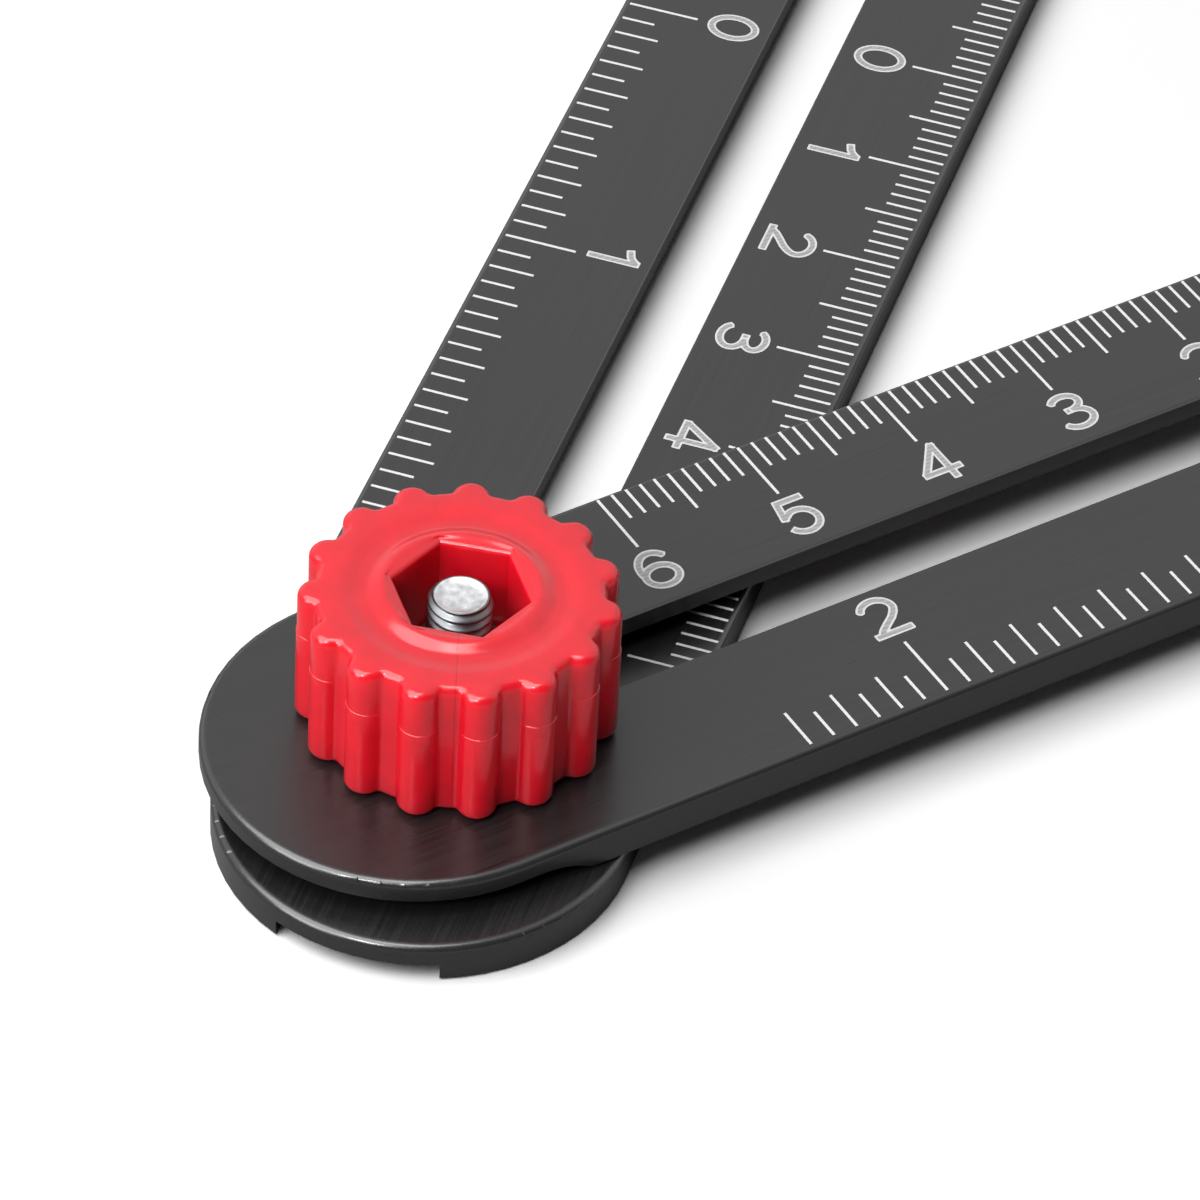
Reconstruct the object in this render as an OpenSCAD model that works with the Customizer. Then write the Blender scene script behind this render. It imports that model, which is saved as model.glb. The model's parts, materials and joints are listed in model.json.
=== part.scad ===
// Multi-angle folding ruler: four slotted arms in two layers, pinned at the
// four corners by a square-headed bolt, a hexagonal nut and a lobed knob.
// The origin is the middle of the closed frame, on the surface it lies on.

/* [Arm] */
// Length of an arm over its round ends
arm_l = 180.4; // [150:0.1:240]
// Width of an arm
arm_w = 25; // [22:0.5:30]
// Thickness of an arm
arm_t = 2.6; // [2.2:0.1:4]
// Rounding of the upper edges of an arm
edge_round = 0.5; // [0.1:0.05:0.8]
// Bevel along the lower edges of an arm
foot_bevel = 0.2; // [0.05:0.05:0.4]

/* [Slot] */
// Metal left between the end of the slot and the tip of the arm
slot_margin = 12.9; // [11:0.1:20]
// Bevel round the upper edge of the slot
slot_bevel = 0.15; // [0.05:0.05:0.3]
// Room for the bolt across the slot
slot_play = 0.9; // [0.3:0.1:1.2]
// How far the bolt heads sit above the underside, in the channel
head_sink = 0.1; // [0:0.05:0.4]
// Room for the bolt head across the channel
channel_play = 0.6; // [0.2:0.1:1.5]
// Length of the thinned underside behind the centre of an upper arm's round end
relief_back = 1.5; // [0:0.1:4]
// Radius of the run-out of the thinned underside
relief_r = 6; // [3:0.5:12]

/* [Setting] */
// Angle between the two arms of the sharp corners
open_angle = 40.6; // [30:0.1:150]
// Bolt's distance from the slot's end on the nearer arm of each corner pair
long_set = 2; // [0.5:0.1:10]
// Bolt's distance from the slot's end on the other arm of each corner pair
short_set = 0.4; // [0.2:0.1:10]
// Share of the room across the channel that the lower arms have shifted outwards
lower_lean = 1; // [0:0.05:1]
// Share of the room across the slot that the upper arms have shifted outwards
upper_lean = 1; // [0:0.05:1]
// Gap between faces that slide or turn on each other
play = 0.05; // [0.02:0.01:0.1]

/* [Bolt] */
// Diameter of the bolt's shank
shank_d = 3.9; // [3:0.1:5]
// Side of the square bolt head
head_w = 9.4; // [8:0.1:11]
// Thickness of the bolt head
head_t = 1.1; // [0.8:0.05:1.4]
// Width of the square bolt head over its rounded corners
head_d = 12.4; // [11.5:0.1:13.5]
// Bevel at the bolt's tip
tip_bevel = 0.35; // [0.1:0.05:0.6]
// Diameter of the sunk face at the bolt's tip
tip_face_d = 2.7; // [1.5:0.1:2.7]
// How far the bolt's tip stays below the knob's collar
tip_sink = 0.7; // [0.2:0.1:2]

/* [Nut] */
// Width of the nut across its flats
nut_af = 7; // [6:0.1:8]
// Thickness of the nut
nut_h = 3.2; // [2.4:0.1:4]
// Room for the nut across its flats in the knob
nut_fit = 0.1; // [0.02:0.02:0.3]
// Turn of the hexagon about the bolt
hex_turn = 30; // [0:1:59]

/* [Knob] */
// Diameter of the knob over its lobes
grip_d = 19; // [17:0.1:24]
// Height of the knob up to its rim
knob_h = 9.7; // [8:0.1:14]
// Number of lobes round the knob
lobes = 15; // [12:1:18]
// Radius of a lobe
lobe_r = 1.1; // [0.8:0.05:1.2]
// Depth of the valleys between the lobes
lobe_depth = 0.95; // [0.6:0.05:1]
// Overlap of the lobes' and valleys' circles on the flanks
flank_overlap = 0.05; // [0.02:0.01:0.1]
// Turn of the lobes about the bolt
lobe_turn = 15; // [0:0.5:24]
// Rounding of the knob's upper edge
rim_round = 0.8; // [0.4:0.1:1.2]
// Rounding of the knob's lower edge
base_round = 0.7; // [0.3:0.1:1]
// Width of the flat rim inside the lobes
rim_w = 1; // [0.6:0.1:1.5]
// Depth of the dish in the knob's top
dish_depth = 0.35; // [0.1:0.05:0.6]
// Width of the dish's sloping edge inside the rim
dish_slope = 1; // [0.6:0.1:1.2]
// Wall of the collar round the hexagonal pocket
collar_wall = 1.4; // [0.8:0.1:1.6]
// Height of the collar above the rim
collar_rise = 0.2; // [0:0.05:0.8]
// Rounding of the collar's outer edge
collar_round = 0.5; // [0.1:0.05:0.6]
// Bevel at the mouth of the hexagonal pocket
mouth_bevel = 0.3; // [0.1:0.05:0.5]
// Thickness of the floor under the nut
knob_floor = 1; // [0.6:0.1:2]
// Height of the moulding line below the rim
parting_drop = 3.1; // [2:0.1:5]
// Step at the moulding line
parting_step = 0.06; // [0.02:0.01:0.15]
// Room for the bolt in the knob's bore
bore_play = 0.25; // [0.1:0.05:0.4]

/* [Hidden] */
$fn = 96;
eps = 0.01;

// Arm
end_r = arm_w / 2;
end_c = arm_l / 2 - end_r;
slot_w = shank_d + slot_play;
slot_end = arm_l / 2 - slot_margin - slot_w / 2;
channel_w = head_w + channel_play;
channel_d = head_sink + head_t + play;
cut_over = 1;

// Levels above the surface that the frame lies on
head_z = head_sink;
upper_z = arm_t + play;
knob_z = upper_z + arm_t + play;
nut_z = knob_z + knob_floor;
tip_z = knob_z + knob_h + collar_rise - tip_sink;

// Corners of the frame, with the long setting on the lower arm at a and c
side = 2 * slot_end - long_set - short_set;
corner_a = [-side * (1 + cos(open_angle)) / 2, side * sin(open_angle) / 2];
corner_b = corner_a + [side, 0];
corner_c = -corner_a;
corner_d = -corner_b;
lower_shift = lower_lean * (min(channel_play, slot_play) / 2 - play);
upper_shift = upper_lean * (slot_play / 2 - play);
lower_mid = corner_a + [slot_end - long_set, lower_shift];
upper_mid = corner_a + (slot_end - short_set) * [cos(open_angle), -sin(open_angle)]
    - upper_shift * [sin(open_angle), cos(open_angle)];

// Knob
knob_r = grip_d / 2;
lobe_c = knob_r - lobe_r;
lobe_step = 360 / lobes;
valley_floor_r = knob_r - lobe_depth;
lobe_reach = valley_floor_r - lobe_r + flank_overlap;
half_cos = cos(lobe_step / 2);
valley_c = (lobe_reach * lobe_reach - lobe_c * lobe_c) / (2 * (lobe_reach - lobe_c * half_cos));
valley_r = valley_c - valley_floor_r;
flank_share = lobe_r / (lobe_r + valley_r);
flank_x = lobe_c + flank_share * (valley_c * half_cos - lobe_c);
flank_y = flank_share * valley_c * sin(lobe_step / 2);
core_r = norm([flank_x, flank_y]);
pocket_r = (nut_af + nut_fit) / 2 / cos(30);
collar_r = pocket_r + collar_wall;
dish_r = valley_floor_r - rim_w;

// Half of an arm's cross-section, from its middle to its edge
module arm_half_section() {
    round_x = end_r - edge_round;
    round_z = arm_t - edge_round;
    polygon([
        [0, 0],
        [end_r - foot_bevel, 0],
        [end_r, foot_bevel],
        [end_r, round_z],
        [round_x, round_z],
        [round_x, arm_t],
        [0, arm_t],
    ]);
    intersection() {
        translate([round_x, round_z]) circle(r = edge_round);
        translate([round_x - eps, round_z - eps]) square(edge_round + 2 * eps);
    }
}

module arm_blank() {
    rotate([90, 0, 90])
        translate([0, 0, -end_c])
            linear_extrude(2 * end_c) {
                arm_half_section();
                mirror([1, 0]) arm_half_section();
            }
    for (x = [-end_c, end_c])
        translate([x, 0, 0]) rotate_extrude() arm_half_section();
}

// Slot through the arm, with a bevelled upper edge
module slot_cut() {
    translate([0, 0, -cut_over])
        linear_extrude(arm_t + 2 * cut_over) {
            square([2 * slot_end, slot_w], center = true);
            for (x = [-slot_end, slot_end]) translate([x, 0]) circle(d = slot_w);
        }
    rotate([90, 0, 90])
        translate([0, 0, -slot_end])
            linear_extrude(2 * slot_end)
                polygon([
                    [-slot_w / 2, arm_t - slot_bevel],
                    [slot_w / 2, arm_t - slot_bevel],
                    [slot_w / 2 + slot_bevel + eps, arm_t + eps],
                    [-slot_w / 2 - slot_bevel - eps, arm_t + eps],
                ]);
    for (x = [-slot_end, slot_end])
        translate([x, 0, arm_t - slot_bevel])
            cylinder(h = slot_bevel + eps, r1 = slot_w / 2, r2 = slot_w / 2 + slot_bevel + eps);
}

// Channel for the bolt heads, open at both ends of the arm
module channel_cut() {
    translate([-arm_l / 2 - cut_over, -channel_w / 2, -cut_over])
        cube([arm_l + 2 * cut_over, channel_w, channel_d + cut_over]);
}

// Thinned underside of an upper arm's round end, with a rounded run-out
module relief_cut() {
    relief_x = end_c - relief_back;
    translate([0, arm_w / 2 + cut_over, 0])
        rotate([90, 0, 0])
            linear_extrude(arm_w + 2 * cut_over) {
                translate([relief_x, -cut_over])
                    square([arm_l / 2 + cut_over - relief_x, channel_d + cut_over]);
                intersection() {
                    translate([relief_x, channel_d - relief_r]) circle(r = relief_r);
                    translate([relief_x - relief_r, -cut_over])
                        square([relief_r + eps, channel_d + cut_over]);
                }
            }
}

module arm(thin_ends) {
    color("#3b3c3e")
        difference() {
            arm_blank();
            slot_cut();
            channel_cut();
            if (thin_ends) {
                relief_cut();
                mirror([1, 0, 0]) relief_cut();
            }
        }
}

module lower_arm() {
    translate([lower_mid.x, lower_mid.y, 0]) arm(false);
}

module upper_arm() {
    translate([upper_mid.x, upper_mid.y, upper_z])
        rotate([0, 0, -open_angle]) arm(true);
}

module lower_arm_a() {
    lower_arm();
}

module lower_arm_b() {
    rotate([0, 0, 180]) lower_arm();
}

module upper_arm_a() {
    upper_arm();
}

module upper_arm_b() {
    rotate([0, 0, 180]) upper_arm();
}

// Bolt with a flat square head that cannot turn in the channel
module bolt(at) {
    color("#b9bcc0")
        translate([at.x, at.y, 0])
            difference() {
                union() {
                    translate([0, 0, head_z])
                        intersection() {
                            translate([-head_w / 2, -head_w / 2, 0]) cube([head_w, head_w, head_t]);
                            cylinder(h = head_t, d = head_d);
                        }
                    translate([0, 0, head_z])
                        cylinder(h = tip_z - tip_bevel - head_z, d = shank_d);
                    translate([0, 0, tip_z - tip_bevel])
                        cylinder(h = tip_bevel, r1 = shank_d / 2, r2 = shank_d / 2 - tip_bevel);
                }
                translate([0, 0, tip_z - tip_bevel / 2])
                    cylinder(h = tip_bevel, d = tip_face_d);
            }
}

module bolt_a() {
    bolt(corner_a);
}

module bolt_b() {
    bolt(corner_b);
}

module bolt_c() {
    bolt(corner_c);
}

module bolt_d() {
    bolt(corner_d);
}

// Hexagonal nut with bevelled corners, seated on the floor of the knob's pocket
module hex_nut(at) {
    flat_r = nut_af / 2;
    corner_r = flat_r / cos(30);
    corner_drop = (corner_r - flat_r) * tan(30);
    color("#9fa3a8")
        translate([at.x, at.y, nut_z])
            difference() {
                intersection() {
                    rotate([0, 0, hex_turn]) cylinder(h = nut_h, r = corner_r, $fn = 6);
                    rotate_extrude()
                        polygon([
                            [0, 0],
                            [flat_r, 0],
                            [corner_r, corner_drop],
                            [corner_r, nut_h - corner_drop],
                            [flat_r, nut_h],
                            [0, nut_h],
                        ]);
                }
                translate([0, 0, -cut_over])
                    cylinder(h = nut_h + 2 * cut_over, r = shank_d / 2 + play);
            }
}

module hex_nut_a() {
    hex_nut(corner_a);
}

module hex_nut_b() {
    hex_nut(corner_b);
}

module hex_nut_c() {
    hex_nut(corner_c);
}

module hex_nut_d() {
    hex_nut(corner_d);
}

// Outline of the knob: round lobes that run into round valleys
module knob_outline() {
    difference() {
        union() {
            circle(r = core_r);
            for (i = [0 : lobes - 1])
                rotate(i * lobe_step) translate([lobe_c, 0]) circle(r = lobe_r);
        }
        for (i = [0 : lobes - 1])
            rotate((i + 0.5) * lobe_step) translate([valley_c, 0]) circle(r = valley_r);
    }
}

// Half-section of a disc with rounded lower and upper edges
module round_edged_section(r, h, low_round, high_round) {
    translate([0, low_round]) square([r, h - low_round - high_round]);
    square([r - low_round, h]);
    translate([r - low_round, low_round]) circle(r = low_round);
    square([r - high_round, h]);
    translate([r - high_round, h - high_round]) circle(r = high_round);
}

// Half-section that the lobes are trimmed to, slimmer above the moulding line
module knob_envelope_section() {
    parting_h = knob_h - parting_drop;
    intersection() {
        square([knob_r + eps, knob_h]);
        union() {
            intersection() {
                round_edged_section(knob_r + eps, knob_h, base_round, rim_round);
                square([knob_r + eps, parting_h]);
            }
            intersection() {
                round_edged_section(knob_r - parting_step, knob_h, base_round, rim_round);
                translate([0, base_round]) square([knob_r, knob_h - base_round]);
            }
        }
    }
}

// Half-section of the ring-shaped dish between the rim and the collar
module dish_section() {
    polygon([
        [collar_r - collar_wall / 2, knob_h - dish_depth],
        [dish_r - dish_slope, knob_h - dish_depth],
        [dish_r + eps, knob_h + eps],
        [collar_r - collar_wall / 2, knob_h + eps],
    ]);
}

// Half-section of the raised collar, rounded on its outer edge
module collar_section() {
    collar_h = knob_h + collar_rise;
    translate([0, knob_floor]) square([collar_r - collar_round, collar_h - knob_floor]);
    translate([0, knob_floor]) square([collar_r, collar_h - collar_round - knob_floor]);
    translate([collar_r - collar_round, collar_h - collar_round]) circle(r = collar_round);
}

// Hexagonal pocket for the nut, with a bevelled mouth
module pocket_cut() {
    mouth_z = knob_h + collar_rise;
    mouth_cut = mouth_bevel + eps;
    translate([0, 0, knob_floor]) cylinder(h = mouth_z, r = pocket_r, $fn = 6);
    translate([0, 0, mouth_z - mouth_bevel])
        cylinder(h = mouth_cut, r1 = pocket_r, r2 = pocket_r + mouth_cut / cos(30), $fn = 6);
}

module knob(at) {
    color("#e2242b")
        translate([at.x, at.y, knob_z])
            rotate([0, 0, lobe_turn])
                difference() {
                    union() {
                        difference() {
                            intersection() {
                                linear_extrude(knob_h) knob_outline();
                                rotate_extrude() knob_envelope_section();
                            }
                            rotate_extrude() dish_section();
                        }
                        rotate_extrude() collar_section();
                    }
                    translate([0, 0, -cut_over])
                        cylinder(h = knob_h, r = shank_d / 2 + bore_play);
                    rotate([0, 0, hex_turn - lobe_turn]) pocket_cut();
                }
}

module knob_a() {
    knob(corner_a);
}

module knob_b() {
    knob(corner_b);
}

module knob_c() {
    knob(corner_c);
}

module knob_d() {
    knob(corner_d);
}

lower_arm_a();
lower_arm_b();
upper_arm_a();
upper_arm_b();
bolt_a();
bolt_b();
bolt_c();
bolt_d();
hex_nut_a();
hex_nut_b();
hex_nut_c();
hex_nut_d();
knob_a();
knob_b();
knob_c();
knob_d();
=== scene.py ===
# Multi-angle folding ruler: the finish, the printed scales, the threaded bolts and the moulded knobs
import json
import math
import bpy
import bmesh
from mathutils import Matrix, Vector

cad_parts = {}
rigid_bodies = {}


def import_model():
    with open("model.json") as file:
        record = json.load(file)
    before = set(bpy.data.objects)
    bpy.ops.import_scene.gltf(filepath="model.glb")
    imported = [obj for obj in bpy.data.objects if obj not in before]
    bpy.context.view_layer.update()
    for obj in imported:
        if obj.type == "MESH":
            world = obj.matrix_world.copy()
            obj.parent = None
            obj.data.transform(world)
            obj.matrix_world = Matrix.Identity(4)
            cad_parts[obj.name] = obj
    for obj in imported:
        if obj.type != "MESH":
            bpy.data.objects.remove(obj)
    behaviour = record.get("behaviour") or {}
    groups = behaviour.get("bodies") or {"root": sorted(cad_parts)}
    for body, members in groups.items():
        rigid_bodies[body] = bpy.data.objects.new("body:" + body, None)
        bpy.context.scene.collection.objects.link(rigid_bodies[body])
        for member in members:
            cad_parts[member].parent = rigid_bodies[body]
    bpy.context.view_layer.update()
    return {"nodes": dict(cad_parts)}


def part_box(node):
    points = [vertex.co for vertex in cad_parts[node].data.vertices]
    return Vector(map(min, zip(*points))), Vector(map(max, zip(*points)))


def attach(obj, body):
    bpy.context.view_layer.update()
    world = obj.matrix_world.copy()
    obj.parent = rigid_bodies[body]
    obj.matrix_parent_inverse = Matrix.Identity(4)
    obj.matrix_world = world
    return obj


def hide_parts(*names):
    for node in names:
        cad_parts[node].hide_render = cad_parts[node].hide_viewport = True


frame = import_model()
mm = 0.001
print("frame loaded:", len(frame["nodes"]), "nodes")


def linearColour(hexText, alpha=1.0):
    # sRGB hex to the linear colour that the sockets take
    out = []
    for i in (1, 3, 5):
        c = int(hexText[i:i + 2], 16) / 255
        out.append(c / 12.92 if c <= 0.04045 else ((c + 0.055) / 1.055) ** 2.4)
    return (*out, alpha)


def addNode(tree, kind, settings=None, values=None, links=None):
    # settings are the node's own properties, values its sockets, links {socket: (node, output)}
    node = tree.nodes.new(kind)
    for name, value in (settings or {}).items():
        setattr(node, name, value)
    for name, value in (values or {}).items():
        node.inputs[name].default_value = value
    for name, (source, output) in (links or {}).items():
        tree.links.new(source.outputs[output], node.inputs[name])
    return node


def newMaterial(name):
    material = bpy.data.materials.new(name)
    material.use_nodes = True
    tree = material.node_tree
    tree.nodes.clear()
    return material, tree


def finishSurface(tree, shader, output="BSDF"):
    addNode(tree, "ShaderNodeOutputMaterial", links={"Surface": (shader, output)})


def noise(tree, place, sizeMm, detail, roughness=0.5):
    values = {"Scale": 1 / (sizeMm * mm), "Detail": detail, "Roughness": roughness}
    return addNode(tree, "ShaderNodeTexNoise", None, values, {"Vector": (place, "Object")})


def spread(tree, source, low, high):
    # a noise keeps mostly between 0.3 and 0.7, so that is what is taken to low and high
    return addNode(tree, "ShaderNodeMapRange", None,
                   {"From Min": 0.3, "From Max": 0.7, "To Min": low, "To Max": high}, {"Value": (source, "Fac")})


def smoothRange(tree, source, start, end, low=0.0, high=1.0):
    # eases from low at start to high at end
    return addNode(tree, "ShaderNodeMapRange", {"interpolation_type": "SMOOTHSTEP"},
                   {"From Min": start, "From Max": end, "To Min": low, "To Max": high}, {"Value": source})


def product(tree, first, second):
    return addNode(tree, "ShaderNodeMath", {"operation": "MULTIPLY"}, None, {0: first, 1: second})


def plusShare(tree, base, share, extra):
    # base + share * extra
    return addNode(tree, "ShaderNodeMath", {"operation": "MULTIPLY_ADD"}, {1: share}, {0: extra, 2: base})


def toned(tree, colourText, factor):
    # the colour times a factor
    return addNode(tree, "ShaderNodeVectorMath", {"operation": "SCALE"}, {0: linearColour(colourText)[:3]},
                   {"Scale": factor})


def blend(tree, factor, first, second):
    # from first to second as the factor rises; each of them is a number or a (node, output) pair
    values, links = {}, {"Factor": factor}
    for socket, given in (("A", first), ("B", second)):
        (links if isinstance(given, tuple) else values)[socket] = given
    return addNode(tree, "ShaderNodeMix", {"data_type": "FLOAT"}, values, links)


def bumped(tree, height, strength, depthMm):
    return addNode(tree, "ShaderNodeBump", None, {"Strength": strength, "Distance": depthMm * mm}, {"Height": height})


# Where the arms and corners are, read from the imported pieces
def boxCentre(node):
    low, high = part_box(node)
    return (low + high) / 2


corners = {k: boxCentre("bolt_" + k).xy for k in "abcd"}
armTop = {level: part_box(level + "_arm_a")[1].z for level in ("lower", "upper")}
upperTurn = math.atan2(corners["d"].y - corners["a"].y, corners["d"].x - corners["a"].x)
# the body that carries each arm, its CAD node, its level and the direction of the print's own x axis
armPlaces = {
    "LowerA": {"body": "frame_base", "node": "lower_arm_a", "level": "lower", "turn": math.pi},
    "LowerB": {"body": "lower_b", "node": "lower_arm_b", "level": "lower", "turn": 0.0},
    "UpperA": {"body": "upper_a", "node": "upper_arm_a", "level": "upper", "turn": upperTurn},
    "UpperB": {"body": "upper_b", "node": "upper_arm_b", "level": "upper", "turn": upperTurn + math.pi},
}
printOffset = 2.19 * mm   # the print's zero lies this far off the arm's middle
mergeReach = 0.0005 * mm   # points closer than this are one point


def printMatrix(place):
    # from the print's own plane, zero at its origin, to the arm's upper face
    middle = boxCentre(place["node"])
    base = Matrix.Translation((middle.x, middle.y, armTop[place["level"]]))
    return base @ Matrix.Rotation(place["turn"], 4, "Z") @ Matrix.Translation((printOffset, 0, 0))


# Black anodised aluminium, brushed lengthwise: a dyed oxide skin, near black in itself, which reflects the
# room in a satin sheen, so the upper faces look grey and go dark where something stands in the reflection
anodised = {"colour": "#161617", "oxideIor": 1.6, "roughness": 0.33, "roughnessSpread": 0.12,
            "lineMm": 0.16, "linesAlongMm": 14, "speckMm": 0.25, "speckShare": 0.25, "cloudMm": 18,
            "lineTone": (0.7, 1.4), "cloudTone": (0.9, 1.1), "bump": 0.4, "bumpMm": 0.01,
            "edgeIor": 1.8, "edgeRoughness": 0.25,
            # share of the edge's finish against how far the surface faces up
            "edgeShare": ((0.0, 0.0), (0.15, 0.1), (0.35, 1.0), (0.85, 1.0), (0.97, 0.1), (1.0, 0.0))}


def anodisedAluminium(name, turn):
    m = anodised
    material, tree = newMaterial(name)
    place = addNode(tree, "ShaderNodeTexCoord")
    along = addNode(tree, "ShaderNodeMapping", {"vector_type": "TEXTURE"}, {"Rotation": (0, 0, turn)},
                    {"Vector": (place, "Object")})
    across = 1 / (m["lineMm"] * mm)
    stretched = addNode(tree, "ShaderNodeMapping", None, {"Scale": (1 / (m["linesAlongMm"] * mm), across, across)},
                        {"Vector": (along, "Vector")})
    lines = addNode(tree, "ShaderNodeTexNoise", None, {"Scale": 1.0, "Detail": 5.0, "Roughness": 0.65},
                    {"Vector": (stretched, "Vector")})
    speck = noise(tree, place, m["speckMm"], 3.0)
    cloud = noise(tree, place, m["cloudMm"], 2.0)
    tone = product(tree, (spread(tree, lines, *m["lineTone"]), "Result"),
                   (spread(tree, cloud, *m["cloudTone"]), "Result"))
    colour = toned(tree, m["colour"], (tone, "Value"))
    half = m["roughnessSpread"] / 2
    rough = spread(tree, lines, m["roughness"] - half, m["roughness"] + half)
    # handling polishes the rounded edges, so they catch the light more than the brushed faces do
    shape = addNode(tree, "ShaderNodeNewGeometry")
    facing = addNode(tree, "ShaderNodeSeparateXYZ", None, None, {"Vector": (shape, "Normal")})
    edge = addNode(tree, "ShaderNodeFloatCurve", None, None, {"Value": (facing, "Z")})
    first, *between, last = m["edgeShare"]
    curve = edge.mapping.curves[0]
    for point, at in zip(curve.points, (first, last)):
        point.location = at
    for at in between:
        curve.points.new(*at)
    edge.mapping.update()
    ior = blend(tree, (edge, "Value"), m["oxideIor"], m["edgeIor"])
    finish = blend(tree, (edge, "Value"), (rough, "Result"), m["edgeRoughness"])
    height = plusShare(tree, (lines, "Fac"), m["speckShare"], (speck, "Fac"))
    bump = bumped(tree, (height, "Value"), m["bump"], m["bumpMm"])
    surface = addNode(tree, "ShaderNodeBsdfPrincipled", None, {"Metallic": 0.0},
                      {"Base Color": (colour, "Vector"), "Roughness": (finish, "Result"), "IOR": (ior, "Result"),
                       "Normal": (bump, "Normal")})
    finishSurface(tree, surface)
    return material


lowerMetal = anodisedAluminium("anodisedAluminiumLower", 0.0)
upperMetal = anodisedAluminium("anodisedAluminiumUpper", upperTurn)
print("metal mixed")

# Laser marks burnt through the anodising: pale matt aluminium, faintly grained. The beam's fill strokes lie
# 0.3 mm apart, coarser than the real 0.1 mm, so that they show
laser = {"line": "#dcdcdc", "digitEdge": "#d2d2d2", "digitFill": "#a2a2a3", "roughness": 0.62,
         "grainMm": 0.12, "grainTone": (0.86, 1.06),
         "hatchScale": 1 / 0.7, "hatchWobble": 1.2, "hatchTone": (0.82, 1.08)}


def laserMark(name, colourText, hatch):
    material, tree = newMaterial(name)
    place = addNode(tree, "ShaderNodeTexCoord")
    grain = noise(tree, place, laser["grainMm"], 2.0)
    factor = (spread(tree, grain, *laser["grainTone"]), "Result")
    if hatch:
        strokes = addNode(tree, "ShaderNodeTexWave", {"bands_direction": "DIAGONAL"},
                          {"Scale": laser["hatchScale"] / mm, "Distortion": laser["hatchWobble"]},
                          {"Vector": (place, "Object")})
        low, high = laser["hatchTone"]
        soft = addNode(tree, "ShaderNodeMapRange", None, {"To Min": low, "To Max": high}, {"Value": (strokes, "Fac")})
        factor = (product(tree, factor, (soft, "Result")), "Value")
    colour = toned(tree, colourText, factor)
    surface = addNode(tree, "ShaderNodeBsdfPrincipled", None, {"Roughness": laser["roughness"], "Metallic": 0.0},
                      {"Base Color": (colour, "Vector")})
    finishSurface(tree, surface)
    return material


tickPaint = laserMark("laserTick", laser["line"], False)
digitEdgePaint = laserMark("laserDigitEdge", laser["digitEdge"], False)
digitFillPaint = laserMark("laserDigitFill", laser["digitFill"], True)

# The scales: ticks by Geometry Nodes, one row for centimetres and one for inches, in mm
scaleRows = {
    "centimetre": {"step": 1.0, "span": 60, "shift": 0.0, "edge": 12.14, "side": 1.0,
                   "short": 2.33, "mid": 3.47, "long": 4.74, "midEvery": 5, "longEvery": 10},
    "inch": {"step": 25.4 / 16, "span": 38, "shift": 0.43, "edge": 12.0, "side": -1.0,
             "short": 2.2, "mid": 2.95, "long": 4.7, "midEvery": 2, "longEvery": 16},
}
tickWidth = 0.19 * mm
markHeight = 0.012 * mm
tickInputs = {"Int": ("count", "midEvery", "longEvery", "zeroIndex"), "Vector": ("firstAt",),
              "Float": ("step", "width", "height", "side", "short", "mid", "long"), "Material": ("material",)}


def tickTree():
    tree = bpy.data.node_groups.new("scaleTicks", "GeometryNodeTree")
    face = tree.interface
    face.new_socket("Geometry", in_out="OUTPUT", socket_type="NodeSocketGeometry")
    for kind, names in tickInputs.items():
        for name in names:
            face.new_socket(name, in_out="INPUT", socket_type="NodeSocket" + kind)
    given = addNode(tree, "NodeGroupInput")
    offset = addNode(tree, "ShaderNodeCombineXYZ", links={"X": (given, "step")})
    row = addNode(tree, "GeometryNodeMeshLine", {"mode": "OFFSET"}, None,
                  {"Count": (given, "count"), "Start Location": (given, "firstAt"), "Offset": (offset, "Vector")})
    # a unit block whose outer end is at zero, so its length is one scale
    block = addNode(tree, "GeometryNodeMeshCube", None, {"Size": (1, 1, 1)})
    shifted = addNode(tree, "GeometryNodeTransform", None, {"Translation": (0, -0.5, 0.5)},
                      {"Geometry": (block, "Mesh")})
    index = addNode(tree, "GeometryNodeInputIndex")
    number = addNode(tree, "ShaderNodeMath", {"operation": "SUBTRACT"}, None,
                     {0: (index, "Index"), 1: (given, "zeroIndex")})
    size = addNode(tree, "ShaderNodeMath", {"operation": "ABSOLUTE"}, None, {0: (number, "Value")})

    def everyNth(name):
        rest = addNode(tree, "ShaderNodeMath", {"operation": "MODULO"}, None, {0: (size, "Value"), 1: (given, name)})
        return addNode(tree, "ShaderNodeMath", {"operation": "LESS_THAN"}, {1: 0.5}, {0: (rest, "Value")})

    isMid, isLong = everyNth("midEvery"), everyNth("longEvery")
    midOr = addNode(tree, "GeometryNodeSwitch", {"input_type": "FLOAT"}, None,
                    {"Switch": (isMid, "Value"), "False": (given, "short"), "True": (given, "mid")})
    length = addNode(tree, "GeometryNodeSwitch", {"input_type": "FLOAT"}, None,
                     {"Switch": (isLong, "Value"), "False": (midOr, "Output"), "True": (given, "long")})
    signed = product(tree, (length, "Output"), (given, "side"))
    scale = addNode(tree, "ShaderNodeCombineXYZ",
                    links={"X": (given, "width"), "Y": (signed, "Value"), "Z": (given, "height")})
    ticks = addNode(tree, "GeometryNodeInstanceOnPoints", None, None,
                    {"Points": (row, "Mesh"), "Instance": (shifted, "Geometry"), "Scale": (scale, "Vector")})
    real = addNode(tree, "GeometryNodeRealizeInstances", None, None, {"Geometry": (ticks, "Instances")})
    painted = addNode(tree, "GeometryNodeSetMaterial", None, None,
                      {"Geometry": (real, "Geometry"), "Material": (given, "material")})
    addNode(tree, "NodeGroupOutput", links={"Geometry": (painted, "Geometry")})
    return tree


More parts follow.
